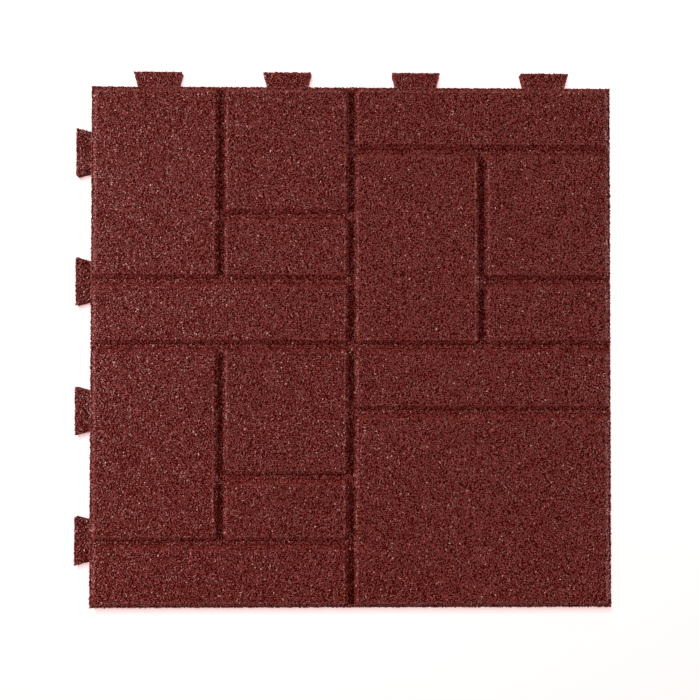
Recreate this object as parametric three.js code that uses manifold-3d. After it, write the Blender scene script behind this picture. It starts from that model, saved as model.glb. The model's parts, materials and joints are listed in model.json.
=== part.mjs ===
// An interlocking rubber paver: a square tile moulded in one piece from bonded rubber crumb.
// Its walking face is a pattern of raised blocks with sunken joints between them, and half a joint
// runs round its edge, so that two tiles laid side by side share one joint. Dovetail tabs stand out
// low on its back and left sides, and the underside of its front and right sides has their sockets.
// Lengths are millimetres and +Z is up. The origin is the centre of the underside, tabs left out.
import * as THREE from "three";
import { mergeVertices } from "three/addons/utils/BufferGeometryUtils.js";
import Module from "manifold-3d";

// Tile
const MODULE = 76.2; // pitch of the joint grid, from centre line to centre line
const THICKNESS = 25.4; // underside to walking face
const TILE_CORNER_RADIUS = 2.5; // upright corners of the tile, in plan
const EDGE_SOFTENING = 1.2; // chamfer on the outer edges of the tile and its tabs

// Joints between the blocks
const JOINT_DEPTH = 6.35; // walking face to joint floor
const JOINT_FLOOR_WIDTH = 4.4; // level floor between the feet of two blocks
const WALL_RUN = 5.4; // how far a block's sloping wall leans back over its height
const SHOULDER_RADIUS = 1.3; // rounding between a block's wall and its walking face
const BLOCK_CORNER_RADIUS = 2; // corners of a block's walking face, in plan

// Dovetail tabs, and the sockets that take them
const TAB_NECK = 47.6; // width where the tab leaves the tile
const TAB_FLARE_DEGREES = 15; // lean of each side, from the neck out to the head
const TAB_REACH = 19.8; // how far the tab stands out from the tile
const TAB_THICKNESS = 12.7; // underside to top of the tab
const TAB_CORNER_RADIUS = 1.6; // corners of the tab's head, in plan
const SOCKET_CLEARANCE = 1.2; // gap between tab and socket, all round
const SOCKET_HEADROOM = 1; // gap between the tab's top and the socket's ceiling

// Blocks of the walking face, in modules from the tile's front left corner
const BLOCKS = [
  { left: 0, right: 2, front: 5, back: 8 },
  { left: 2, right: 4, front: 6, back: 8 },
  { left: 2, right: 4, front: 5, back: 6 },
  { left: 0, right: 4, front: 4, back: 5 },
  { left: 0, right: 2, front: 1, back: 4 },
  { left: 2, right: 4, front: 2, back: 4 },
  { left: 2, right: 4, front: 1, back: 2 },
  { left: 0, right: 4, front: 0, back: 1 },
  { left: 4, right: 8, front: 7, back: 8 },
  { left: 4, right: 6, front: 4, back: 7 },
  { left: 6, right: 8, front: 5, back: 7 },
  { left: 6, right: 8, front: 4, back: 5 },
  { left: 4, right: 8, front: 3, back: 4 },
  { left: 4, right: 8, front: 0, back: 3 },
];

// Fineness of the rounded corners and shoulders
const CORNER_DIVISIONS = 2;
const SHOULDER_STEPS = 3;

// Lengths of material that only serve a join or a cut
const BLOCK_ROOT = 2; // how far a block's foot reaches down into the tile
const TAB_ROOT = 8; // how far a tab reaches back into the tile
const CUT_MARGIN = 1; // how far a socket's cut runs out past the faces it opens

const MODULES_PER_SIDE = Math.max(...BLOCKS.map((block) => block.right));
const SIDE = MODULES_PER_SIDE * MODULE;
const JOINT_LEVEL = THICKNESS - JOINT_DEPTH;
const SOCKET_CEILING = TAB_THICKNESS + SOCKET_HEADROOM;
const TAB_PITCH = 2 * MODULE; // each tab stands in the middle of two modules
const TABS_PER_SIDE = Math.floor(MODULES_PER_SIDE / 2);

const wasm = await Module();
wasm.setup();

// A closed three.js geometry as a solid that can be joined and cut.
function solidFrom(geometry) {
  const bare = geometry.clone();
  bare.deleteAttribute("normal");
  bare.deleteAttribute("uv");
  const merged = mergeVertices(bare);
  return new wasm.Manifold(
    new wasm.Mesh({
      numProp: 3,
      vertProperties: merged.attributes.position.array,
      triVerts: new Uint32Array(merged.index.array),
    }),
  );
}

// A joined and cut solid as a three.js geometry.
function geometryFrom(solid) {
  const mesh = solid.getMesh();
  const geometry = new THREE.BufferGeometry();
  geometry.setAttribute("position", new THREE.BufferAttribute(mesh.vertProperties, 3));
  geometry.setIndex(new THREE.BufferAttribute(mesh.triVerts, 1));
  geometry.computeVertexNormals();
  return geometry;
}

function join(solids) {
  return solids.reduce((joined, solid) => joined.add(solid));
}

// A rectangle with rounded corners, centred on the origin.
function roundedRectangle(width, depth, radius) {
  const x = width / 2 - radius;
  const y = depth / 2 - radius;
  const quarter = Math.PI / 2;
  const shape = new THREE.Shape();
  shape.absarc(x, -y, radius, -quarter, 0);
  shape.absarc(x, y, radius, 0, quarter);
  shape.absarc(-x, y, radius, quarter, 2 * quarter);
  shape.absarc(-x, -y, radius, 2 * quarter, 3 * quarter);
  return shape;
}

// A plate of an outline, from the underside up to a height, with softened edges.
function softEdgedPlate(outline, height) {
  const plate = new THREE.ExtrudeGeometry(outline, {
    curveSegments: CORNER_DIVISIONS,
    depth: height - 2 * EDGE_SOFTENING,
    bevelSegments: 1,
    bevelThickness: EDGE_SOFTENING,
    bevelSize: EDGE_SOFTENING,
    bevelOffset: -EDGE_SOFTENING,
  });
  return plate.translate(0, 0, EDGE_SOFTENING);
}

// The side of a block in section: how far each point lies from the joint's centre line, and its
// height, from the foot of the wall, round the shoulder, to the edge of the walking face.
function blockProfile() {
  const slope = Math.atan2(JOINT_DEPTH, WALL_RUN);
  const setBack = JOINT_FLOOR_WIDTH / 2 + WALL_RUN + SHOULDER_RADIUS * Math.tan(slope / 2);
  const profile = [{ inset: JOINT_FLOOR_WIDTH / 2, height: JOINT_LEVEL }];
  for (let step = SHOULDER_STEPS; step >= 0; step -= 1) {
    const angle = (slope * step) / SHOULDER_STEPS;
    profile.push({
      inset: setBack - SHOULDER_RADIUS * Math.sin(angle),
      height: THICKNESS - SHOULDER_RADIUS * (1 - Math.cos(angle)),
    });
  }
  return profile;
}

// One tapering layer of a block, between two points of its profile, with its root in the tile.
function blockLayer(outline, crest, lower, upper) {
  const rootLevel = JOINT_LEVEL - BLOCK_ROOT;
  const layer = new THREE.ExtrudeGeometry(outline, {
    curveSegments: CORNER_DIVISIONS,
    depth: lower.height - rootLevel,
    bevelSegments: 1,
    bevelThickness: upper.height - lower.height,
    bevelSize: upper.inset - lower.inset,
    bevelOffset: crest.inset - upper.inset,
  });
  return layer.translate(0, 0, rootLevel);
}

// A raised block, as a stack of layers that follow its profile.
function block({ left, right, front, back }) {
  const profile = blockProfile();
  const crest = profile.at(-1);
  const outline = roundedRectangle(
    (right - left) * MODULE - 2 * crest.inset,
    (back - front) * MODULE - 2 * crest.inset,
    BLOCK_CORNER_RADIUS,
  );
  const x = ((left + right) / 2) * MODULE - SIDE / 2;
  const y = ((front + back) / 2) * MODULE - SIDE / 2;
  const layers = profile
    .slice(1)
    .map((upper, index) => blockLayer(outline, crest, profile[index], upper).translate(x, y, 0));
  return join(layers.map(solidFrom));
}

// A tab's outline, grown by a gap all round. It points along +Y, its neck is on the X axis, and
// its root runs back to -Y.
function dovetail(gap, root) {
  const flare = THREE.MathUtils.degToRad(TAB_FLARE_DEGREES);
  const halfWidthAt = (y) => TAB_NECK / 2 + y * Math.tan(flare) + gap / Math.cos(flare);
  const radius = TAB_CORNER_RADIUS + gap;
  const arcY = TAB_REACH - TAB_CORNER_RADIUS;
  const arcX = halfWidthAt(arcY) - radius / Math.cos(flare);
  const shape = new THREE.Shape();
  shape.moveTo(-halfWidthAt(-root), -root);
  shape.lineTo(halfWidthAt(-root), -root);
  shape.absarc(arcX, arcY, radius, -flare, Math.PI / 2);
  shape.absarc(-arcX, arcY, radius, Math.PI / 2, Math.PI + flare);
  return shape;
}

// A tab, pointing along +Y.
function tab() {
  return softEdgedPlate(dovetail(0, TAB_ROOT), TAB_THICKNESS);
}

// The space of a socket, open to the underside and to the side that the tab enters, along +Y.
function socketSpace() {
  const space = new THREE.ExtrudeGeometry(dovetail(SOCKET_CLEARANCE, CUT_MARGIN), {
    curveSegments: CORNER_DIVISIONS,
    depth: SOCKET_CEILING + CUT_MARGIN,
    bevelEnabled: false,
  });
  return space.translate(0, 0, -CUT_MARGIN);
}

// Copies of a piece that points along +Y, with its neck on a side of the tile: one for each tab
// place of the back (edge 1) or front (edge -1) side.
function rowAlongX(piece, edge) {
  return tabPlaces().map((place) => piece().translate(place, (edge * SIDE) / 2, 0));
}

// The same, turned to point along -X, for the right (edge 1) or left (edge -1) side.
function rowAlongY(piece, edge) {
  return tabPlaces().map((place) =>
    piece().rotateZ(Math.PI / 2).translate((edge * SIDE) / 2, place, 0),
  );
}

function tabPlaces() {
  const first = (TAB_PITCH - SIDE) / 2;
  return Array.from({ length: TABS_PER_SIDE }, (_, index) => first + index * TAB_PITCH);
}

// The whole paver: a plate as high as the joint floor, with the blocks and tabs joined to it and
// the sockets cut out of its underside.
function paver() {
  const plate = softEdgedPlate(roundedRectangle(SIDE, SIDE, TILE_CORNER_RADIUS), JOINT_LEVEL);
  const tabs = [...rowAlongX(tab, 1), ...rowAlongY(tab, -1)];
  const sockets = [...rowAlongX(socketSpace, -1), ...rowAlongY(socketSpace, 1)];
  const body = join([solidFrom(plate), ...BLOCKS.map(block), ...tabs.map(solidFrom)]);
  return geometryFrom(body.subtract(join(sockets.map(solidFrom))));
}

const rubber = new THREE.MeshStandardMaterial({ color: 0x612c28, roughness: 0.95, metalness: 0 });

const rubberPaver = new THREE.Mesh(paver(), rubber);
rubberPaver.name = "rubber_paver";

const root = new THREE.Group();
root.add(rubberPaver);

export default root;
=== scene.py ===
"""Looks of an interlocking rubber paver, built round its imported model.

The paver is one moulding of bonded rubber crumb. A closed body follows the model's surface, and
small closed crumbs are bonded into it wherever the rubber shows from above or from the side.
Lengths are metres, in the model's own frame: +Z is up, and the tabs point to +Y and to -X.
"""

import json
import logging
import math
from dataclasses import dataclass
from enum import Enum
from itertools import product
from typing import Iterable, Sequence

import bpy
import numpy as np
from mathutils import Euler, Matrix, Vector
from mathutils.bvhtree import BVHTree
from mathutils.kdtree import KDTree


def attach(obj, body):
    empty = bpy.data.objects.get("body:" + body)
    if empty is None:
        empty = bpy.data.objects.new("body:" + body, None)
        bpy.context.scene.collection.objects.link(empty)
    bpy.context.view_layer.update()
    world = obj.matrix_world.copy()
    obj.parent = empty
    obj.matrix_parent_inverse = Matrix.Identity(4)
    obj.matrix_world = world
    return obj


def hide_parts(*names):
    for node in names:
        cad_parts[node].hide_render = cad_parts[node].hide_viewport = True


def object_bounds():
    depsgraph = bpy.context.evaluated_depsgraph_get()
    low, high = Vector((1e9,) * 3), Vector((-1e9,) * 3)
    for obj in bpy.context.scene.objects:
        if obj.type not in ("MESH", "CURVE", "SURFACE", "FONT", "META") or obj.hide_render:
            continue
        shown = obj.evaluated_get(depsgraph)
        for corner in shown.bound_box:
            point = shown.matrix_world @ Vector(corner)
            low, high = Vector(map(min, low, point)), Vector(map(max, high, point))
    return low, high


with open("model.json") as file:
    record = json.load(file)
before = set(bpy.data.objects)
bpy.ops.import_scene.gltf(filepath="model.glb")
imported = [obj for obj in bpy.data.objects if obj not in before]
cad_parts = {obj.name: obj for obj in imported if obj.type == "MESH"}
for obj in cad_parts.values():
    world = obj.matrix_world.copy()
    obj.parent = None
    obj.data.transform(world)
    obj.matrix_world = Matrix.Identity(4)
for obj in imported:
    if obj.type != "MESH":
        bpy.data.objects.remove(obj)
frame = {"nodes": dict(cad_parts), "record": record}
CAD_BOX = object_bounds()

MM = 0.001
NODE = "rubber_paver"
BODY = "root"
UNDER_CRUMBS = "under_crumbs"
CRUMB_TONE_AND_PAINTED_SHADE = "crumb_tone_and_painted_shade"
STOP_DIGITS = 7

Colour = tuple[float, float, float]
Span = tuple[float, float]
Inputs = dict[str | int, object]

log = logging.getLogger("paver")


def mount_point(name: str) -> Vector:
    """The point of one of the record's mounts."""
    mounts = frame["record"]["mounts"]
    return Vector(next(mount["pos_m"] for mount in mounts if mount["name"] == name))


def mesh_object(name: str, vertices: np.ndarray, faces: Sequence) -> bpy.types.Object:
    """Makes a mesh object and links it to the scene.

    Args:
        name: The object's name.
        vertices: One row of three coordinates for each vertex.
        faces: One row of vertex numbers for each face.

    Returns:
        The new object.
    """
    mesh = bpy.data.meshes.new(name)
    mesh.from_pydata(vertices, [], faces)
    made = bpy.data.objects.new(name, mesh)
    bpy.context.scene.collection.objects.link(made)
    return made


def vertex_normals(vertices: np.ndarray, quads: np.ndarray) -> np.ndarray:
    """Averages the normals of the quads that meet at each vertex.

    Args:
        vertices: One row of three coordinates for each vertex.
        quads: One row of four vertex numbers for each face.

    Returns:
        One unit vector for each vertex.
    """
    corners = vertices[quads]
    across = np.cross(corners[:, 2] - corners[:, 0], corners[:, 3] - corners[:, 1])
    normals = np.zeros_like(vertices)
    for corner in range(4):
        np.add.at(normals, quads[:, corner], across)
    return normals / np.linalg.norm(normals, axis=1, keepdims=True)


@dataclass(frozen=True)
class PaverSizes:
    """Sizes of the paver. Those without a value here are read from the frame."""

    half_side: float
    thickness: float
    tab_thickness: float
    tab_reach: float
    socket_ceiling: float
    tab_centres: tuple[float, ...]
    modules: int = 8
    joint_columns: tuple[int, ...] = (2, 4, 6)
    joint_rows: tuple[int, ...] = (1, 2, 3, 4, 5, 6, 7)
    joint_depth: float = 6.35 * MM
    joint_foot: float = 2.2 * MM
    joint_crest: float = 8.2 * MM
    tab_neck: float = 47.6 * MM
    tab_flare: float = math.radians(15)
    socket_clearance: float = 1.2 * MM
    edge_softening: float = 1.2 * MM

    @classmethod
    def from_frame(cls) -> "PaverSizes":
        """Reads the main sizes off the record's mounts and the model's box.

        Returns:
            The sizes of the paver.
        """
        half_side = mount_point("side_right").x
        mounts = frame["record"]["mounts"]
        back_tabs = [mount for mount in mounts if mount["name"].startswith("tab_back")]
        return cls(
            half_side=half_side,
            thickness=mount_point("walking_face").z,
            tab_thickness=mount_point("tab_back_1").z,
            tab_reach=CAD_BOX[1].y - half_side,
            socket_ceiling=mount_point("socket_front_1").z,
            tab_centres=tuple(tab["pos_m"][0] for tab in back_tabs),
        )

    @property
    def joint_level(self) -> float:
        """Height of the joint floors."""
        return self.thickness - self.joint_depth

    @property
    def socket_depth(self) -> float:
        """How far a socket runs in from its side."""
        return self.tab_reach + self.socket_clearance


def graded(stops: Iterable[float], pitch: float) -> np.ndarray:
    """Fills the spans between stops with equal steps.

    Args:
        stops: Places that get a line whatever the pitch.
        pitch: The step that the others come near.

    Returns:
        The places of all lines, in rising order.
    """
    ordered = np.unique(np.round(list(stops), STOP_DIGITS))
    filled = [ordered[:1]]
    for low, high in zip(ordered, ordered[1:]):
        steps = max(1, round((high - low) / pitch))
        filled.append(np.linspace(low, high, steps + 1)[1:])
    return np.concatenate(filled)


@dataclass
class PaverBody:
    """The rubber itself: a closed skin round a lattice of cells, laid on the model's surface."""

    sizes: PaverSizes
    flat_pitch: float = 3.7 * MM
    wall_pitch: float = 2.7 * MM
    flare_blend: float = 24 * MM
    socket_blend: float = 45 * MM
    crumb_bed: float = 1.1 * MM
    bed_roughness: float = 0.45 * MM
    plain_roughness: float = 0.25 * MM
    slip: float = 0.12
    wall_steps: int = 4
    outer_band: float = 0.5 * MM
    level_from: float = 0.4
    edge_clearance: float = 1.1
    ceiling_margin: float = 1.0 * MM
    ray_start: float = 1.0
    seed: int = 11

    def lines(self, joints: tuple[int, ...], tabs_ahead: bool) -> np.ndarray:
        """Places the lattice lines along one axis.

        Args:
            joints: The module lines that carry a joint across this axis.
            tabs_ahead: True if tabs stand out past the axis's high side, False for its low side.

        Returns:
            The places of the lines, in rising order.
        """
        sizes = self.sizes
        module = 2 * sizes.half_side / sizes.modules
        foot, crest, edge = sizes.joint_foot, sizes.joint_crest, sizes.edge_softening
        rises = np.linspace(foot, crest, self.wall_steps)
        insets = (0, edge, *rises)
        stops = [side * (sizes.half_side - inset) for side in (-1, 1) for inset in insets]
        for joint in joints:
            centre = joint * module - sizes.half_side
            stops += [centre + side * run for side in (-1, 1) for run in (0, foot / 2, *rises)]
        for centre, side, inset in product(sizes.tab_centres, (-1, 1), (0, edge)):
            stops.append(centre + side * (sizes.tab_neck / 2 - inset))
        way = 1 if tabs_ahead else -1
        stops.append(way * (sizes.socket_depth - sizes.half_side))
        beyond = [0, sizes.tab_reach - edge, sizes.tab_reach]
        outer = graded([sizes.half_side + run for run in beyond], self.wall_pitch)[1:]
        return np.unique(np.concatenate([graded(stops, self.flat_pitch), way * outer]))

    def levels(self) -> np.ndarray:
        """Places the lattice levels, up to the joint floors.

        Returns:
            The heights of the levels, in rising order.
        """
        sizes, edge = self.sizes, self.sizes.edge_softening
        stops = [0, edge, sizes.tab_thickness - edge, sizes.tab_thickness]
        return graded([*stops, sizes.joint_level - edge, sizes.joint_level], self.wall_pitch)

    def cells(self, x: np.ndarray, y: np.ndarray, z: np.ndarray) -> np.ndarray:
        """Finds the lattice cells that hold rubber.

        Args:
            x: Lattice lines across X.
            y: Lattice lines across Y.
            z: Lattice levels.

        Returns:
            One true or false value for each cell.
        """
        sizes = self.sizes
        middle = [(line[1:] + line[:-1]) / 2 for line in (x, y, z)]
        across_x, across_y, height = np.meshgrid(*middle, indexing="ij")
        low = height < sizes.tab_thickness
        rubber = np.maximum(np.abs(across_x), np.abs(across_y)) < sizes.half_side
        for along, across in ((across_y, across_x), (-across_x, across_y)):
            offsets = [np.abs(across - centre) for centre in sizes.tab_centres]
            in_neck = np.minimum.reduce(offsets) < sizes.tab_neck / 2
            rubber |= (along > sizes.half_side) & in_neck & low
            in_socket = (along < sizes.socket_depth - sizes.half_side) & in_neck & low
            rubber &= ~(in_socket & (along > -sizes.half_side))
        return rubber

    @staticmethod
    def skin(cells: np.ndarray) -> tuple[np.ndarray, np.ndarray, np.ndarray]:
        """Wraps the filled cells in quads.

        Args:
            cells: One true or false value for each cell of a lattice.

        Returns:
            The lattice numbers of each vertex, the vertex numbers of each quad, and how many of
            the eight cells round each vertex are filled.
        """
        padded = np.pad(cells, 1).astype(np.int8)
        steps = np.eye(3, dtype=int)
        found = []
        for axis in range(3):
            second, third = steps[(axis + 1) % 3], steps[(axis + 2) % 3]
            inner = tuple(slice(None) if other == axis else slice(1, -1) for other in range(3))
            change = np.diff(padded, axis=axis)[inner]
            for outward in (-1, 1):
                base = np.argwhere(change == outward)
                corners = (base, base + second, base + second + third, base + third)
                found.append(np.stack(corners, axis=1)[:, ::-outward])
        corners = np.concatenate(found)
        shape = tuple(count + 1 for count in cells.shape)
        numbers = np.ravel_multi_index(corners.reshape(-1, 3).T, shape)
        used, quads = np.unique(numbers, return_inverse=True)
        places = np.stack(np.unravel_index(used, shape), axis=1)
        around = sum(padded[tuple((places + shift).T)] for shift in product((0, 1), repeat=3))
        return places, quads.reshape(-1, 4), around

    def flared(self, across: np.ndarray, along: np.ndarray) -> np.ndarray:
        """Spreads lattice lines to the slanting sides of the tabs and sockets.

        Args:
            across: Places along the side that carries them.
            along: Places in the direction in which the tabs point.

        Returns:
            The places along the side, spread.
        """
        sizes = self.sizes
        tangent = math.tan(sizes.tab_flare)
        into_socket = along + sizes.half_side
        socket = np.minimum(into_socket, sizes.socket_depth) * tangent
        socket += sizes.socket_clearance / math.cos(sizes.tab_flare)
        socket *= np.clip(1 - (into_socket - sizes.socket_depth) / self.socket_blend, 0, 1)
        growth = np.where(along > sizes.half_side, (along - sizes.half_side) * tangent, socket)
        centres = np.array(sizes.tab_centres)
        nearest = centres[np.argmin(np.abs(across[:, None] - centres), axis=1)]
        offset = across - nearest
        reach, half_neck = np.abs(offset), sizes.tab_neck / 2
        fade = 1 - (reach - half_neck) / self.flare_blend
        share = np.where(reach < half_neck, reach / half_neck, fade)
        return across + growth * np.sign(offset) * np.clip(share, 0, 1)

    def laid_out(
        self, places: np.ndarray, x: np.ndarray, y: np.ndarray, z: np.ndarray
    ) -> np.ndarray:
        """Gives each lattice corner its place on the smooth paver.

        Args:
            places: The lattice numbers of each vertex.
            x: Lattice lines across X.
            y: Lattice lines across Y.
            z: Lattice levels.

        Returns:
            One row of three coordinates for each vertex.
        """
        sizes = self.sizes
        at_x, at_y, height = x[places[:, 0]], y[places[:, 1]], z[places[:, 2]].copy()
        tab_level = int(np.argmin(np.abs(z - sizes.tab_thickness)))
        low = places[:, 2] <= tab_level
        near_socket = sizes.socket_depth - sizes.half_side + self.ceiling_margin
        ceiling = (places[:, 2] == tab_level) & ((at_y < near_socket) | (-at_x < near_socket))
        height[ceiling] = sizes.socket_ceiling
        made = np.stack([at_x, at_y, height], axis=1)
        made[low, 0] = self.flared(at_x[low], at_y[low])
        made[low, 1] = self.flared(at_y[low], -at_x[low])
        solid = frame["nodes"][NODE].data
        corners = [vertex.co for vertex in solid.vertices]
        surface = BVHTree.FromPolygons(corners, [face.vertices for face in solid.polygons])
        inside = sizes.half_side - self.edge_clearance * sizes.edge_softening
        for vertex in np.flatnonzero(places[:, 2] == len(z) - 1):
            above = Vector((*np.clip(made[vertex, :2], -inside, inside), self.ray_start))
            made[vertex, 2] = surface.ray_cast(above, Vector((0, 0, -1)))[0].z
        return made

    @staticmethod
    def softened(vertices: np.ndarray, quads: np.ndarray, edges: np.ndarray) -> np.ndarray:
        """Draws the vertices of sharp edges in to the middle of their neighbours.

        Args:
            vertices: One row of three coordinates for each vertex.
            quads: One row of four vertex numbers for each face.
            edges: True for each vertex that lies on a sharp edge.

        Returns:
            The vertices, with rounded edges.
        """
        pairs = np.concatenate([quads[:, [corner, (corner + 1) % 4]] for corner in range(4)])
        pairs = np.unique(np.sort(pairs, axis=1), axis=0)
        total, count = np.zeros_like(vertices), np.zeros(len(vertices))
        for one, other in ((0, 1), (1, 0)):
            np.add.at(total, pairs[:, one], vertices[pairs[:, other]])
            np.add.at(count, pairs[:, one], 1)
        rounded = vertices.copy()
        rounded[edges] = total[edges] / count[edges, None]
        return rounded

    def roughened(
        self, vertices: np.ndarray, quads: np.ndarray, edges: np.ndarray
    ) -> tuple[np.ndarray, np.ndarray]:
        """Sinks the skin under its layer of crumbs, unevenly, and never past the model's box.

        Args:
            vertices: One row of three coordinates for each vertex of the smooth paver.
            quads: One row of four vertex numbers for each face.
            edges: True for each vertex that lies on a sharp edge.

        Returns:
            The vertices of the rough paver, and True for each that lies under crumbs.
        """
        random = np.random.default_rng(self.seed)
        normals = vertex_normals(vertices, quads)
        reach = np.max(np.abs(vertices[:, :2]), axis=1)
        outer = reach > self.sizes.half_side - self.outer_band
        upward = normals[:, 2]
        crumbed = (upward > self.level_from) | (outer & (upward > -self.level_from))
        roughness = np.where(crumbed, self.bed_roughness, self.plain_roughness)
        depth = random.random(len(vertices)) * roughness
        depth += np.where(crumbed, self.crumb_bed, 0)
        slip = random.normal(0, self.slip, vertices.shape) * self.flat_pitch
        slip -= normals * np.sum(slip * normals, axis=1, keepdims=True)
        slip[edges] = 0
        rough = np.clip(vertices + slip - normals * depth[:, None], *CAD_BOX)
        return rough, crumbed

    def build(self) -> bpy.types.Object:
        """Makes the body as one closed mesh.

        Returns:
            The body's object.
        """
        x = self.lines(self.sizes.joint_columns, tabs_ahead=False)
        y = self.lines(self.sizes.joint_rows, tabs_ahead=True)
        z = self.levels()
        places, quads, around = self.skin(self.cells(x, y, z))
        # Half of the eight cells round a vertex are filled where the skin is flat, fewer where it
        # bends outwards and more where it bends inwards.
        edges = around != 4
        smooth = self.laid_out(places, x, y, z)
        smooth = self.softened(smooth, quads, around < 4)
        rough, crumbed = self.roughened(smooth, quads, edges)
        body = mesh_object("paver_body", rough, quads)
        body.data.shade_smooth()
        covered = body.data.attributes.new(UNDER_CRUMBS, "FLOAT", "POINT")
        covered.data.foreach_set("value", crumbed.astype(np.float32))
        return body


class Tone(Enum):
    """Shades of crumb: share of the crumbs, and where the shade lies from dark 0 to pale 1."""

    DEEP = (0.3, 0.28)
    PLAIN = (0.5, 0.38)
    LIGHT = (0.188, 0.53)
    FLECK = (0.012, 0.95)

    @property
    def share(self) -> float:
        """Share of the crumbs that have this shade."""
        return self.value[0]

    @property
    def shade(self) -> float:
        """Place of the shade on the crumb's colour ramp."""
        return self.value[1]


@dataclass
class CrumbLayer:
    """The crumbs bonded into the walking face, the joints, the sides and the tabs."""

    sizes: PaverSizes
    corners: int = 3
    spacing: float = 1.5 * MM
    candidates_per_spacing: float = 3.4
    gaps: float = 0.06
    radius: float = 1.6 * MM
    radius_span: Span = (0.7, 1.2)
    stretch_span: Span = (0.8, 1.25)
    foot_turn: float = 0.4
    top_turn: float = 0.3
    top_share: float = 0.8
    top_span: Span = (0.8, 1.1)
    deepest_top: float = 0.9 * MM
    depth_power: float = 1.5
    thickness: float = 1.6 * MM
    least_rise: float = 0.3 * MM
    lean: float = 0.3
    # Shade at each crumb's foot, as a share of its own: painted shade in the crevices between
    # crumbs.
    painted_foot_shade: float = -0.4
    shade_spread: float = 0.07
    lowest_facing: float = -0.8
    socket_facing: float = 0.3
    socket_inset: float = 2.4 * MM
    bands: int = 5
    map_margin: float = 0.16
    seed: int = 29

    def bed(self) -> tuple[np.ndarray, np.ndarray]:
        """Picks the model's triangles that crumbs show on.

        Returns:
            The corners of each triangle, and its unit normal.
        """
        solid = frame["nodes"][NODE].data
        solid.calc_loop_triangles()
        places = np.array([vertex.co for vertex in solid.vertices])
        corners = places[[triangle.vertices[:] for triangle in solid.loop_triangles]]
        normals = np.cross(corners[:, 1] - corners[:, 0], corners[:, 2] - corners[:, 0])
        normals /= np.linalg.norm(normals, axis=1, keepdims=True)
        middles = corners.mean(axis=1)
        inset = self.sizes.half_side - np.max(np.abs(middles[:, :2]), axis=1)
        socket_wall = (inset > self.socket_inset) & (normals[:, 2] < self.socket_facing)
        shown = (normals[:, 2] > self.lowest_facing) & ~socket_wall
        return corners[shown], normals[shown]

    def seats(self, random: np.random.Generator) -> tuple[np.ndarray, np.ndarray]:
        """Spreads points over the bed, none nearer to another than the spacing.

        Args:
            random: Source of the random numbers.

        Returns:
            The points, from the front of the paver to its back, and the bed's normal at each.
        """
        corners, normals = self.bed()
        sides = corners[:, 1:] - corners[:, :1]
        areas = np.linalg.norm(np.cross(sides[:, 0], sides[:, 1]), axis=1) / 2
        count = int(self.candidates_per_spacing * areas.sum() / self.spacing**2)
        chosen = np.searchsorted(np.cumsum(areas), random.random(count) * areas.sum())
        chosen = np.minimum(chosen, len(areas) - 1)
        run = random.random((count, 2))
        run = np.where(run.sum(axis=1, keepdims=True) > 1, 1 - run, run)
        points = corners[chosen, 0] + np.einsum("ni,nij->nj", run, sides[chosen])
        tree = KDTree(count)
        for number, point in enumerate(points):
            tree.insert(point, number)
        tree.balance()
        free = np.ones(count, bool)
        kept = []
        for number, point in enumerate(points):
            if free[number]:
                kept.append(number)
                free[[found[1] for found in tree.find_range(point, self.spacing)]] = False
        kept = np.array(kept)[np.argsort(points[kept, 1], kind="stable")]
        return points[kept], normals[chosen[kept]]

    def shapes(self, random: np.random.Generator, count: int) -> np.ndarray:
        """Shapes the crumbs: shards with a foot of a few corners and a smaller, slanting top.

        Args:
            random: Source of the random numbers.
            count: How many crumbs there are.

        Returns:
            The corners of each crumb, foot first, with the bed's normal as the third axis.
        """
        shape = (count, self.corners)
        turn = np.arange(self.corners) * math.tau / self.corners
        turn = turn + random.uniform(-self.foot_turn, self.foot_turn, shape)
        radius = self.radius * random.uniform(*self.radius_span, shape)
        stretch = random.uniform(*self.stretch_span, (count, 1))
        foot_x = radius * np.cos(turn) * stretch
        foot_y = radius * np.sin(turn) / stretch
        turn = turn + random.uniform(-self.top_turn, self.top_turn, shape)
        radius = radius * self.top_share * random.uniform(*self.top_span, shape)
        top_x = radius * np.cos(turn) * stretch
        top_y = radius * np.sin(turn) / stretch
        lean = random.normal(0, self.lean, (count, 2, 1))
        slant = lean[:, 0] * top_x + lean[:, 1] * top_y
        sink = self.deepest_top * random.random((count, 1)) ** self.depth_power
        foot_z = np.repeat(-sink - self.thickness, self.corners, axis=1)
        top_z = slant - slant.max(axis=1, keepdims=True) - sink
        top_z = np.maximum(top_z, foot_z + self.least_rise)
        foot = np.stack([foot_x, foot_y, foot_z], axis=2)
        return np.concatenate([foot, np.stack([top_x, top_y, top_z], axis=2)], axis=1)

    @staticmethod
    def turned(shapes: np.ndarray, normals: np.ndarray, random: np.random.Generator) -> np.ndarray:
        """Turns each crumb at random about the bed's normal.

        Args:
            shapes: The corners of each crumb.
            normals: The bed's normal at each crumb.
            random: Source of the random numbers.

        Returns:
            The corners, in the paver's frame, about the crumb's seat.
        """
        aside = random.normal(size=normals.shape)
        first = np.cross(normals, aside)
        first /= np.linalg.norm(first, axis=1, keepdims=True)
        axes = np.stack([first, np.cross(normals, first), normals], axis=1)
        return np.einsum("nci,nij->ncj", shapes, axes)

    @staticmethod
    def pushed_in(corners: np.ndarray) -> np.ndarray:
        """Moves each crumb that stands out of the model's box back into it.

        Args:
            corners: The corners of each crumb.

        Returns:
            The corners, all inside the box.
        """
        low, high = (np.array(corner) for corner in CAD_BOX)
        short = np.maximum(low - corners.min(axis=1), 0)
        over = np.maximum(corners.max(axis=1) - high, 0)
        return corners + (short - over)[:, None]

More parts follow.
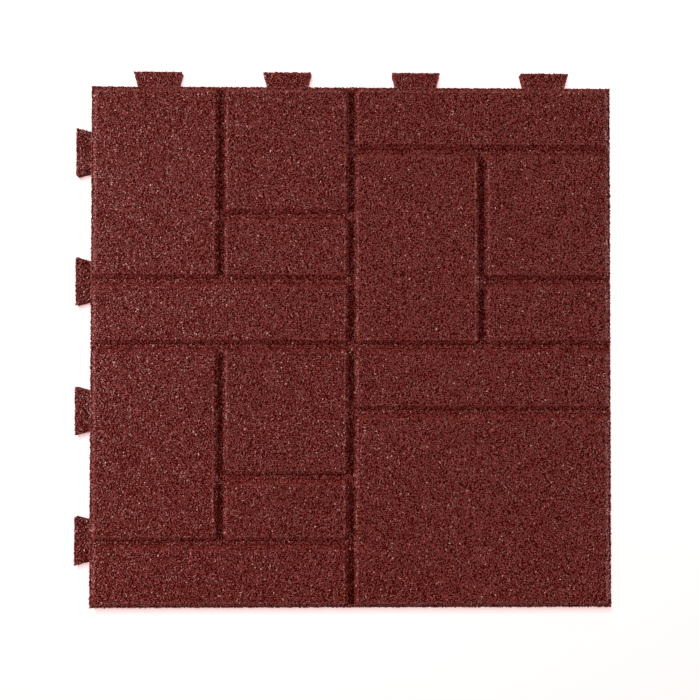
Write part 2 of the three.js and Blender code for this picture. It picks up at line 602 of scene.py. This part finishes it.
    def mapped(self, piece: bpy.types.Object, count: int) -> None:
        """Gives each crumb of a piece its own small square on a map.

        Args:
            piece: The crumbs, as one mesh.
            count: How many crumbs it holds.
        """
        per_row = math.ceil(math.sqrt(count))
        turn = np.arange(self.corners) * math.tau / self.corners
        foot = (0.5 - self.map_margin) * np.stack([np.cos(turn), np.sin(turn)], axis=1)
        outline = 0.5 + np.concatenate([foot, foot * self.top_share])
        numbers = np.arange(count)
        origins = np.stack([numbers % per_row, numbers // per_row], axis=1)
        places = ((origins[:, None] + outline) / per_row).reshape(-1, 2)
        corners = np.zeros(len(piece.data.loops), np.int32)
        piece.data.loops.foreach_get("vertex_index", corners)
        layer = piece.data.uv_layers.new(name="OFBake")
        layer.uv.foreach_set("vector", places[corners].astype(np.float32).ravel())

    def shades(self, random: np.random.Generator, count: int) -> np.ndarray:
        """Picks the shade of each crumb, on the crumb's colour ramp.

        Args:
            random: Source of the random numbers.
            count: How many crumbs there are.

        Returns:
            One shade for each crumb.
        """
        shares = [tone.share for tone in Tone]
        picked = random.choice([tone.shade for tone in Tone], count, p=shares)
        return np.clip(picked + random.normal(0, self.shade_spread, count), 0, 1)

    def faces(self) -> list[list[int]]:
        """Lists the faces of one crumb.

        Returns:
            The corners of its foot, of each of its sides and of its top.
        """
        foot = list(range(self.corners))
        top = [corner + self.corners for corner in foot]
        around = list(zip(foot, foot[1:] + foot[:1], top[1:] + top[:1], top))
        return [foot[::-1], *[list(side) for side in around], top]

    def band(self, name: str, corners: np.ndarray, shades: np.ndarray) -> bpy.types.Object:
        """Joins some crumbs into one mesh.

        Each crumb's shade is stored on it, whole at the top and darkened towards the foot with
        painted shade, for the crevices between crumbs.

        Args:
            name: The name of the mesh.
            corners: The corners of each crumb.
            shades: The shade of each crumb.

        Returns:
            The mesh's object.
        """
        per_crumb = 2 * self.corners
        firsts = range(0, per_crumb * len(corners), per_crumb)
        one = self.faces()
        joined = [[first + corner for corner in face] for first in firsts for face in one]
        piece = mesh_object(name, corners.reshape(-1, 3), joined)
        stored = piece.data.attributes.new(CRUMB_TONE_AND_PAINTED_SHADE, "FLOAT", "POINT")
        # The feet get painted shade, and the tops keep the crumb's own tone.
        painted_shade_falls = np.repeat([self.painted_foot_shade, 1.0], self.corners)
        stored.data.foreach_set("value", np.outer(shades, painted_shade_falls).astype(np.float32).ravel())
        self.mapped(piece, len(corners))
        return piece

    def build(self) -> list[bpy.types.Object]:
        """Makes the crumbs, joined into bands from the front of the paver to its back.

        Returns:
            The bands.
        """
        random = np.random.default_rng(self.seed)
        seats, normals = self.seats(random)
        filled = random.random(len(seats)) > self.gaps
        seats, normals = seats[filled], normals[filled]
        corners = self.turned(self.shapes(random, len(seats)), normals, random) + seats[:, None]
        corners = self.pushed_in(corners)
        shades = self.shades(random, len(seats))
        bands = np.array_split(np.arange(len(seats)), self.bands)
        return [
            self.band(f"crumb_band_{number}", corners[members], shades[members])
            for number, members in enumerate(bands, start=1)
        ]


class NodeSheet:
    """A material's node tree, with short calls to add and join its nodes."""

    def __init__(self, name: str) -> None:
        """Starts an empty material.

        Args:
            name: The material's name.
        """
        self.material = bpy.data.materials.new(name)
        self.material.use_nodes = True
        self.tree = self.material.node_tree
        self.tree.nodes.clear()

    def add(self, kind: str, inputs: Inputs | None = None, **settings: object) -> bpy.types.Node:
        """Adds a node.

        Args:
            kind: The node's type, without its ShaderNode prefix.
            inputs: What each input gets: a socket to be joined to it, or a value.
            settings: The node's own settings.

        Returns:
            The new node.
        """
        node = self.tree.nodes.new("ShaderNode" + kind)
        for setting, value in settings.items():
            setattr(node, setting, value)
        for place, value in (inputs or {}).items():
            if isinstance(value, bpy.types.NodeSocket):
                self.tree.links.new(value, node.inputs[place])
            else:
                node.inputs[place].default_value = value
        return node

    def place(self) -> bpy.types.NodeSocket:
        """Adds the place on the object that is being coloured."""
        return self.add("TexCoord").outputs["Object"]

    def stored(self, name: str) -> bpy.types.NodeSocket:
        """Adds a value that the mesh stores under a name."""
        return self.add("Attribute", attribute_name=name).outputs["Fac"]

    def noise(
        self, place: bpy.types.NodeSocket, scale: float, detail: float
    ) -> bpy.types.NodeSocket:
        """Adds a cloudy pattern.

        Args:
            place: Where on the object the pattern is read.
            scale: How many clouds there are to a metre.
            detail: How many finer layers it has.

        Returns:
            The socket with the pattern's strength, from 0 to 1.
        """
        inputs = {"Vector": place, "Scale": scale, "Detail": detail}
        return self.add("TexNoise", inputs).outputs["Fac"]

    def ranged(
        self, value: bpy.types.NodeSocket, made: Span, given: Span = (0.0, 1.0)
    ) -> bpy.types.NodeSocket:
        """Maps one range of values to another.

        Args:
            value: The socket with the value.
            made: What the ends of the given range become.
            given: The range that the value is taken from.

        Returns:
            The socket with the mapped value.
        """
        limits = {"From Min": given[0], "From Max": given[1], "To Min": made[0], "To Max": made[1]}
        return self.add("MapRange", {"Value": value, **limits}).outputs["Result"]

    def reckoned(self, operation: str, *values: object) -> bpy.types.NodeSocket:
        """Adds a sum or a product of sockets and numbers."""
        return self.add("Math", dict(enumerate(values)), operation=operation).outputs[0]

    def mixed(
        self, share: object, first: object, second: object, way: str = "MIX"
    ) -> bpy.types.NodeSocket:
        """Mixes two colours.

        Args:
            share: How much of the second colour is mixed in.
            first: The first colour, or its socket.
            second: The second colour, or its socket.
            way: How the two are brought together.

        Returns:
            The socket with the mixed colour.
        """
        inputs = {"Fac": share, "Color1": first, "Color2": second}
        return self.add("MixRGB", inputs, blend_type=way).outputs["Color"]

    def ramp(
        self, share: bpy.types.NodeSocket, places: Sequence[float], colours: Sequence[Colour]
    ) -> bpy.types.NodeSocket:
        """Adds a colour ramp.

        Args:
            share: The socket that picks the colour.
            places: Where on the ramp the colours are.
            colours: The colours, one for each place.

        Returns:
            The ramp's colour socket.
        """
        node = self.add("ValToRGB", {"Fac": share})
        while len(node.color_ramp.elements) < len(places):
            node.color_ramp.elements.new(1)
        for element, place, colour in zip(node.color_ramp.elements, places, colours):
            element.position = place
            element.color = (*colour, 1)
        return node.outputs["Color"]

    def finish(self, **inputs: object) -> bpy.types.Material:
        """Joins a Principled shader to the output.

        Args:
            inputs: The shader's inputs, with underscores for the spaces in their names.

        Returns:
            The finished material.
        """
        named = {place.replace("_", " "): value for place, value in inputs.items()}
        shader = self.add("BsdfPrincipled", named)
        self.add("OutputMaterial", {"Surface": shader.outputs["BSDF"]})
        return self.material


@dataclass(frozen=True)
class RubberColours:
    """Colours of the rubber, from the painted shade of its pits and crevices to its palest flecks.
    """

    # Painted shade, for the crevices between crumbs, the gaps of the mosaic and the skin under the
    # crumbs.
    painted_pit_shade: Colour = (0.045, 0.0030, 0.0020)
    deep: Colour = (0.127, 0.0124, 0.0092)
    plain: Colour = (0.162, 0.0176, 0.0132)
    light: Colour = (0.201, 0.0230, 0.0176)
    fleck: Colour = (0.40, 0.18, 0.15)


@dataclass(frozen=True)
class CrumbFinish:
    """Finish of the single crumbs: each has its own shade, with patches over the whole paver."""

    colours: RubberColours = RubberColours()
    patch_scale: float = 9.0
    patch_detail: float = 3.0
    patch_depth: float = 0.05
    fine_scale: float = 900.0
    fine_detail: float = 2.0
    mottle: float = 0.26
    mottle_from: Span = (0.3, 0.7)
    ramp_places: tuple[float, ...] = (0.0, 0.16, 0.38, 0.62, 0.9)
    smoothest: float = 0.38
    roughest: float = 0.65
    specular: float = 0.37
    gloss_tint: Colour = (1.0, 0.95, 0.93)

    def material(self) -> bpy.types.Material:
        """Builds the material.

        Returns:
            The material.
        """
        sheet = NodeSheet("crumb")
        place = sheet.place()
        patches = sheet.noise(place, self.patch_scale, self.patch_detail)
        fine = sheet.noise(place, self.fine_scale, self.fine_detail)
        patch = sheet.ranged(patches, (-self.patch_depth, self.patch_depth))
        mottled = sheet.ranged(fine, (-self.mottle, self.mottle), self.mottle_from)
        # The stored shade is each crumb's own tone, falling to painted shade towards its foot.
        shade = sheet.reckoned("ADD", sheet.stored(CRUMB_TONE_AND_PAINTED_SHADE), patch)
        shade = sheet.reckoned("ADD", shade, mottled)
        tint = self.colours
        tints = (tint.painted_pit_shade, tint.deep, tint.plain, tint.light, tint.fleck)
        return sheet.finish(
            Base_Color=sheet.ramp(shade, self.ramp_places, tints),
            Roughness=sheet.ranged(fine, (self.smoothest, self.roughest)),
            Specular_IOR_Level=self.specular,
            Specular_Tint=(*self.gloss_tint, 1),
        )


@dataclass(frozen=True)
class BodyFinish:
    """Finish of the body: a mosaic of pressed crumbs with painted shade in the gaps between them.
    """

    colours: RubberColours = RubberColours()
    crumb_scale: float = 520.0
    crumb_bend: float = 0.0012
    bend_detail: float = 1.0
    patch_scale: float = 9.0
    patch_detail: float = 3.0
    patch_depth: float = 0.1
    fine_scale: float = 1500.0
    fine_detail: float = 2.0
    # How wide the gaps of the mosaic are, and how strongly painted shade darkens them.
    gap_width: float = 0.16
    gap_painted_shade: float = 0.85
    dome_width: float = 0.35
    step_share: float = 0.45
    fine_share: float = 0.35
    ramp_places: tuple[float, ...] = (0.0, 0.5, 0.94, 0.97)
    bump_height: float = 0.5 * MM
    bump_strength: float = 0.8
    smoothest: float = 0.7
    roughest: float = 0.95
    specular: float = 0.08
    gloss_tint: Colour = (1.0, 0.95, 0.93)

    def colour(
        self, sheet: NodeSheet, place: bpy.types.NodeSocket, shade: object, edges: object
    ) -> bpy.types.NodeSocket:
        """Colours the mosaic, and darkens its gaps and all that lies under the crumbs with painted
        shade.

        Args:
            sheet: The material's node sheet.
            place: The socket with the place on the object.
            shade: The socket with each pressed crumb's own shade.
            edges: The socket with the distance to the crumb's edge.

        Returns:
            The socket with the colour.
        """
        tint = self.colours
        patches = sheet.noise(place, self.patch_scale, self.patch_detail)
        patch = sheet.ranged(patches, (-self.patch_depth, self.patch_depth))
        tints = (tint.deep, tint.plain, tint.light, tint.fleck)
        mosaic = sheet.ramp(sheet.reckoned("ADD", shade, patch), self.ramp_places, tints)
        # Painted shade in the gaps between pressed crumbs, and over the skin under the crumbs.
        gap = sheet.ranged(edges, (self.gap_painted_shade, 0.0), (0.0, self.gap_width))
        with_painted_gap_shade = sheet.mixed(gap, mosaic, (*tint.painted_pit_shade, 1))
        return sheet.mixed(sheet.stored(UNDER_CRUMBS), with_painted_gap_shade, (*tint.painted_pit_shade, 1))

    def material(self) -> bpy.types.Material:
        """Builds the material.

        Returns:
            The material.
        """
        sheet = NodeSheet("pressed_rubber")
        place = sheet.place()
        inputs = {"Vector": place, "Scale": self.crumb_scale, "Detail": self.bend_detail}
        bend = sheet.add("TexNoise", inputs).outputs["Color"]
        bent = sheet.mixed(self.crumb_bend, place, bend, "ADD")
        cells = {"Vector": bent, "Scale": self.crumb_scale}
        own = sheet.add("TexVoronoi", cells).outputs["Color"]
        edges = sheet.add("TexVoronoi", cells, feature="DISTANCE_TO_EDGE").outputs["Distance"]
        shade = sheet.add("SeparateColor", {"Color": own}).outputs["Red"]
        fine = sheet.noise(place, self.fine_scale, self.fine_detail)
        dome = sheet.ranged(edges, (0.0, 1.0), (0.0, self.dome_width))
        relief = sheet.reckoned("MULTIPLY_ADD", shade, self.step_share, dome)
        relief = sheet.reckoned("MULTIPLY_ADD", fine, self.fine_share, relief)
        inputs = {"Height": relief, "Distance": self.bump_height, "Strength": self.bump_strength}
        return sheet.finish(
            Base_Color=self.colour(sheet, place, shade, edges),
            Roughness=sheet.ranged(fine, (self.smoothest, self.roughest)),
            Specular_IOR_Level=self.specular,
            Specular_Tint=(*self.gloss_tint, 1),
            Normal=sheet.add("Bump", inputs).outputs["Normal"],
        )


@dataclass(frozen=True)
class Softbox:
    """A soft studio lamp that points at the origin.

    Its bearing is in degrees from +X towards +Y, and its elevation in degrees over the floor.
    """

    name: str
    bearing: float
    elevation: float
    distance: float
    width: float
    height: float
    power: float
    colour: Colour = (1.0, 1.0, 1.0)
    shadows: bool = True

    def build(self, lit: bpy.types.Collection) -> None:
        """Makes the lamp.

        Args:
            lit: The only things that it lights.
        """
        lamp = bpy.data.lights.new(self.name, "AREA")
        lamp.shape, lamp.size, lamp.size_y = "RECTANGLE", self.width, self.height
        lamp.energy, lamp.color, lamp.use_shadow = self.power, self.colour, self.shadows
        made = bpy.data.objects.new(self.name, lamp)
        bpy.context.scene.collection.objects.link(made)
        turn, lift = math.radians(self.bearing), math.radians(self.elevation)
        level, rise = self.distance * math.cos(lift), self.distance * math.sin(lift)
        place = Vector((level * math.cos(turn), level * math.sin(turn), rise))
        made.location = place
        made.rotation_euler = (-place).to_track_quat("-Z", "Y").to_euler()
        made.light_linking.receiver_collection = lit


@dataclass
class Studio:
    """A pale floor, soft lamps and the camera that looks straight down, as in the photograph.

    Each lamp has a name, its bearing, elevation and distance, its width and height, and its power.
    The camera's lens and sensor are in millimetres, and its turn is in radians.
    """

    floor_half: float = 2.0
    floor_drop: float = 0.1 * MM
    floor_grey: float = 0.9
    floor_roughness: float = 0.9
    world_strength: float = 0.15
    backdrop_strength: float = 1.0
    rubber_lamps: tuple[Softbox, ...] = (
        Softbox("key_low", 172, 12, 2.0, 0.7, 0.25, 39),
        Softbox("key_high", 172, 34, 2.0, 0.7, 0.5, 46),
        Softbox("fill_low", 0, 8, 4.5, 1.6, 0.5, 150),
        Softbox("fill_high", 0, 35, 4.5, 1.6, 0.5, 118),
        Softbox("back", 90, 50, 4.5, 1.6, 1.6, 62),
        Softbox("front", 270, 30, 4.5, 1.6, 0.5, 13),
    )
    floor_lamps: tuple[Softbox, ...] = (
        Softbox("floor_wash", 114, 72, 3.2, 0.5, 2.1, 79),
        Softbox("floor_fill", 90, 80, 3.2, 2.0, 2.0, 72, (1.0, 0.49, 0.47), shadows=False),
    )
    camera_place: tuple[float, float, float] = (-13.3 * MM, -18.0 * MM, 1000 * MM)
    camera_turn: tuple[float, float, float] = (-0.0140, 0.0119, -0.0013)
    lens: float = 43.2
    sensor: float = 36.0
    black_level: Colour = (0.0, 0.0028, 0.0027)
    white_level: Colour = (1.0, 0.929, 0.929)

    def floor(self) -> bpy.types.Object:
        """Makes the floor.

        Returns:
            The floor's object.
        """
        half = self.floor_half
        plan = [(-half, -half), (half, -half), (half, half), (-half, half)]
        corners = np.array([(x, y, -self.floor_drop) for x, y in plan])
        made = mesh_object("studio_floor", corners, np.array([(0, 1, 2, 3)]))
        colour = (self.floor_grey,) * 3 + (1,)
        finish = NodeSheet("pale_floor").finish(Base_Color=colour, Roughness=self.floor_roughness)
        made.data.materials.append(finish)
        return made

    def surroundings(self) -> None:
        """Lights the scene evenly from all round, and shows white past the floor's edge."""
        world = bpy.data.worlds.new("surroundings")
        world.use_nodes = True
        tree = world.node_tree
        glow = tree.nodes["Background"]
        white = tree.nodes.new("ShaderNodeBackground")
        for shader, strength in ((glow, self.world_strength), (white, self.backdrop_strength)):
            shader.inputs["Color"].default_value = (1, 1, 1, 1)
            shader.inputs["Strength"].default_value = strength
        path = tree.nodes.new("ShaderNodeLightPath")
        shown = tree.nodes.new("ShaderNodeMixShader")
        tree.links.new(path.outputs["Is Camera Ray"], shown.inputs[0])
        tree.links.new(glow.outputs[0], shown.inputs[1])
        tree.links.new(white.outputs[0], shown.inputs[2])
        tree.links.new(shown.outputs[0], tree.nodes["World Output"].inputs["Surface"])
        bpy.context.scene.world = world

    @staticmethod
    def light(name: str, lamps: Iterable[Softbox], lit: Iterable[bpy.types.Object]) -> None:
        """Sets up lamps that light some things only.

        Args:
            name: Name of the collection of what they light.
            lamps: The lamps.
            lit: What they light.
        """
        gathered = bpy.data.collections.new(name)
        for thing in lit:
            gathered.objects.link(thing)
        for lamp in lamps:
            lamp.build(gathered)

    def camera(self) -> None:
        """Sets the camera over the paver, where the photograph's perspective puts it."""
        lens = bpy.data.cameras.new("camera")
        lens.lens, lens.sensor_width = self.lens, self.sensor
        made = bpy.data.objects.new("camera", lens)
        bpy.context.scene.collection.objects.link(made)
        turn = Euler(self.camera_turn, "XYZ").to_matrix().transposed().to_4x4()
        made.matrix_world = Matrix.Translation(self.camera_place) @ turn
        bpy.context.scene.camera = made

    def tones(self) -> None:
        """Sets the tones of the picture: deep shade turns a purer red, as in the photograph."""
        view = bpy.context.scene.view_settings
        view.view_transform = "Standard"
        view.use_curve_mapping = True
        view.curve_mapping.black_level = self.black_level
        view.curve_mapping.white_level = self.white_level
        view.curve_mapping.update()

    def build(self, paver: list[bpy.types.Object]) -> None:
        """Sets up floor, light, camera and tones.

        Args:
            paver: The pieces of the paver, which its lamps light.
        """
        floor = self.floor()
        self.surroundings()
        self.light("lit_rubber", self.rubber_lamps, paver)
        self.light("lit_floor", self.floor_lamps, [floor])
        self.camera()
        self.tones()


def main() -> None:
    """Builds the paver and its studio, and reports each piece."""
    logging.basicConfig(level=logging.INFO, format="%(name)s: %(message)s")
    sizes = PaverSizes.from_frame()
    body = PaverBody(sizes).build()
    body.data.materials.append(BodyFinish().material())
    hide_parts(NODE)
    crumbs = CrumbLayer(sizes).build()
    crumb_material = CrumbFinish().material()
    for piece in crumbs:
        piece.data.materials.append(crumb_material)
    paver = [body, *crumbs]
    for piece in paver:
        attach(piece, BODY)
        triangles = sum(len(face.vertices) - 2 for face in piece.data.polygons)
        log.info("%s: %d triangles", piece.name, triangles)
    Studio().build(paver)


if __name__ == "__main__":
    main()
